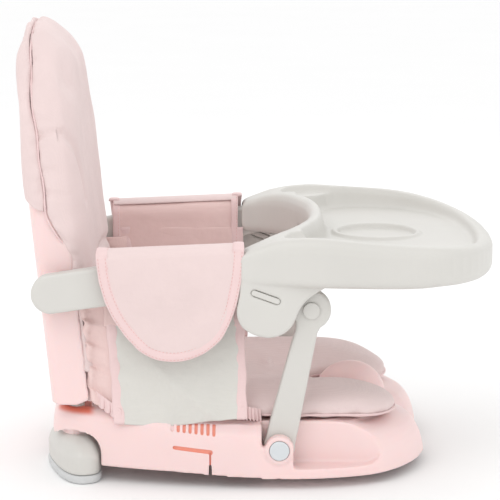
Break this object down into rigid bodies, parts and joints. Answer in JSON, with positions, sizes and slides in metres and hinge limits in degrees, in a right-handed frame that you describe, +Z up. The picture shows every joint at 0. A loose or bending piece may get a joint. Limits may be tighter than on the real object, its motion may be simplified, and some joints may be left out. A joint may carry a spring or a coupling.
{
  "type": "booster seat",
  "caption": "Folding child booster seat with padded backrest, armrests on front struts, slide-off tray, fabric side panels, harness and pull-out feet.",
  "frame": {"origin": "on the floor, below the middle of the whole seat", "axes": "+X forward towards the tray, +Y towards the child's left hand, +Z up"},
  "size_m": [0.4656, 0.3624, 0.4272],
  "materials": {
    "pink_plastic": "smooth moulded plastic, soft sheen",
    "pink_fabric": "padded woven cover with bound edges",
    "grey_plastic": "fine moulded texture, satin",
    "sole_rubber": "matte non-slip sole",
    "cream_fabric": "thin woven panel",
    "webbing": "woven webbing",
    "pin_steel": "plain steel pin with a smooth cap"
  },
  "bodies": {
    "base": {"base_shell": "pink_plastic", "seat_cushion": "pink_fabric", "crotch_strap": "webbing", "buckle_body": "grey_plastic", "strut_pin_left": "pin_steel", "strut_pin_right": "pin_steel"},
    "backrest": {"back_shell": "pink_plastic", "back_pad": "pink_fabric", "back_cover": "pink_fabric", "fold_pin_left": "pin_steel", "fold_pin_right": "pin_steel", "arm_pin_left": "pin_steel", "arm_pin_right": "pin_steel", "waist_strap_left": "webbing", "waist_strap_right": "webbing", "buckle_tongue_left": "grey_plastic", "buckle_tongue_right": "grey_plastic"},
    "tray": {"tray": "grey_plastic"},
    "button": {"buckle_button": "pink_plastic"},
    "arm_left": {"arm_left": "grey_plastic", "arm_wrap_left": "pink_fabric", "arm_flap_left": "pink_fabric", "side_panel_left": "cream_fabric"},
    "strut_left": {"strut_left": "grey_plastic", "strut_head_pin_left": "pin_steel"},
    "latch_left": {"tray_latch_left": "grey_plastic"},
    "rear_foot_left": {"rear_foot_left": "grey_plastic", "rear_foot_sole_left": "sole_rubber"},
    "front_foot_left": {"front_foot_left": "grey_plastic", "front_foot_sole_left": "sole_rubber"},
    "arm_right": {"arm_right": "grey_plastic", "arm_wrap_right": "pink_fabric", "arm_flap_right": "pink_fabric", "side_panel_right": "cream_fabric"},
    "strut_right": {"strut_right": "grey_plastic", "strut_head_pin_right": "pin_steel"},
    "latch_right": {"tray_latch_right": "grey_plastic"},
    "rear_foot_right": {"rear_foot_right": "grey_plastic", "rear_foot_sole_right": "sole_rubber"},
    "front_foot_right": {"front_foot_right": "grey_plastic", "front_foot_sole_right": "sole_rubber"}
  },
  "joints": [
    {"name": "backrest_fold", "type": "hinge", "parent": "base", "child": "backrest", "pos_m": [-0.168, 0, 0.094], "axis": [0, 1, 0], "range_deg": [0, 80], "deforming": ["side_panel_left", "side_panel_right", "arm_flap_left", "arm_flap_right"]},
    {"name": "arm_left_pivot", "type": "hinge", "parent": "backrest", "child": "arm_left", "pos_m": [-0.19, 0.146, 0.184], "axis": [0, 1, 0], "range_deg": [-70, 0]},
    {"name": "arm_right_pivot", "type": "hinge", "parent": "backrest", "child": "arm_right", "pos_m": [-0.19, -0.146, 0.184], "axis": [0, 1, 0], "range_deg": [-70, 0]},
    {"name": "strut_left_pivot", "type": "hinge", "parent": "base", "child": "strut_left", "pos_m": [0.0225, 0.146, 0.038], "axis": [0, 1, 0], "range_deg": [0, 62.5]},
    {"name": "strut_right_pivot", "type": "hinge", "parent": "base", "child": "strut_right", "pos_m": [0.0225, -0.146, 0.038], "axis": [0, 1, 0], "range_deg": [0, 62.5]},
    {"name": "tray_slide", "type": "slide", "parent": "arm_left", "child": "tray", "axis": [1, 0, 0], "range_m": [0, 0.12]},
    {"name": "latch_left_press", "type": "slide", "parent": "tray", "child": "latch_left", "axis": [0, -1, 0], "range_m": [0, 0.002], "stiffness_N_per_m": 400},
    {"name": "latch_right_press", "type": "slide", "parent": "tray", "child": "latch_right", "axis": [0, 1, 0], "range_m": [0, 0.002], "stiffness_N_per_m": 400},
    {"name": "buckle_button_press", "type": "slide", "parent": "base", "child": "button", "axis": [0, 0, -1], "range_m": [0, 0.002], "stiffness_N_per_m": 600},
    {"name": "rear_foot_left_slide", "type": "slide", "parent": "base", "child": "rear_foot_left", "axis": [0, 0, 1], "range_m": [-0.02, 0]},
    {"name": "rear_foot_right_slide", "type": "slide", "parent": "base", "child": "rear_foot_right", "axis": [0, 0, 1], "range_m": [-0.02, 0]},
    {"name": "front_foot_left_slide", "type": "slide", "parent": "base", "child": "front_foot_left", "axis": [0, 0, 1], "range_m": [-0.02, 0]},
    {"name": "front_foot_right_slide", "type": "slide", "parent": "base", "child": "front_foot_right", "axis": [0, 0, 1], "range_m": [-0.02, 0]}
  ],
  "couplings": [
    {"joint": "arm_left_pivot", "follows": "backrest_fold", "ratio": -0.8703},
    {"joint": "strut_left_pivot", "follows": "backrest_fold", "ratio": 0.7778},
    {"joint": "arm_right_pivot", "follows": "backrest_fold", "ratio": -0.8703},
    {"joint": "strut_right_pivot", "follows": "backrest_fold", "ratio": 0.7778}
  ]
}
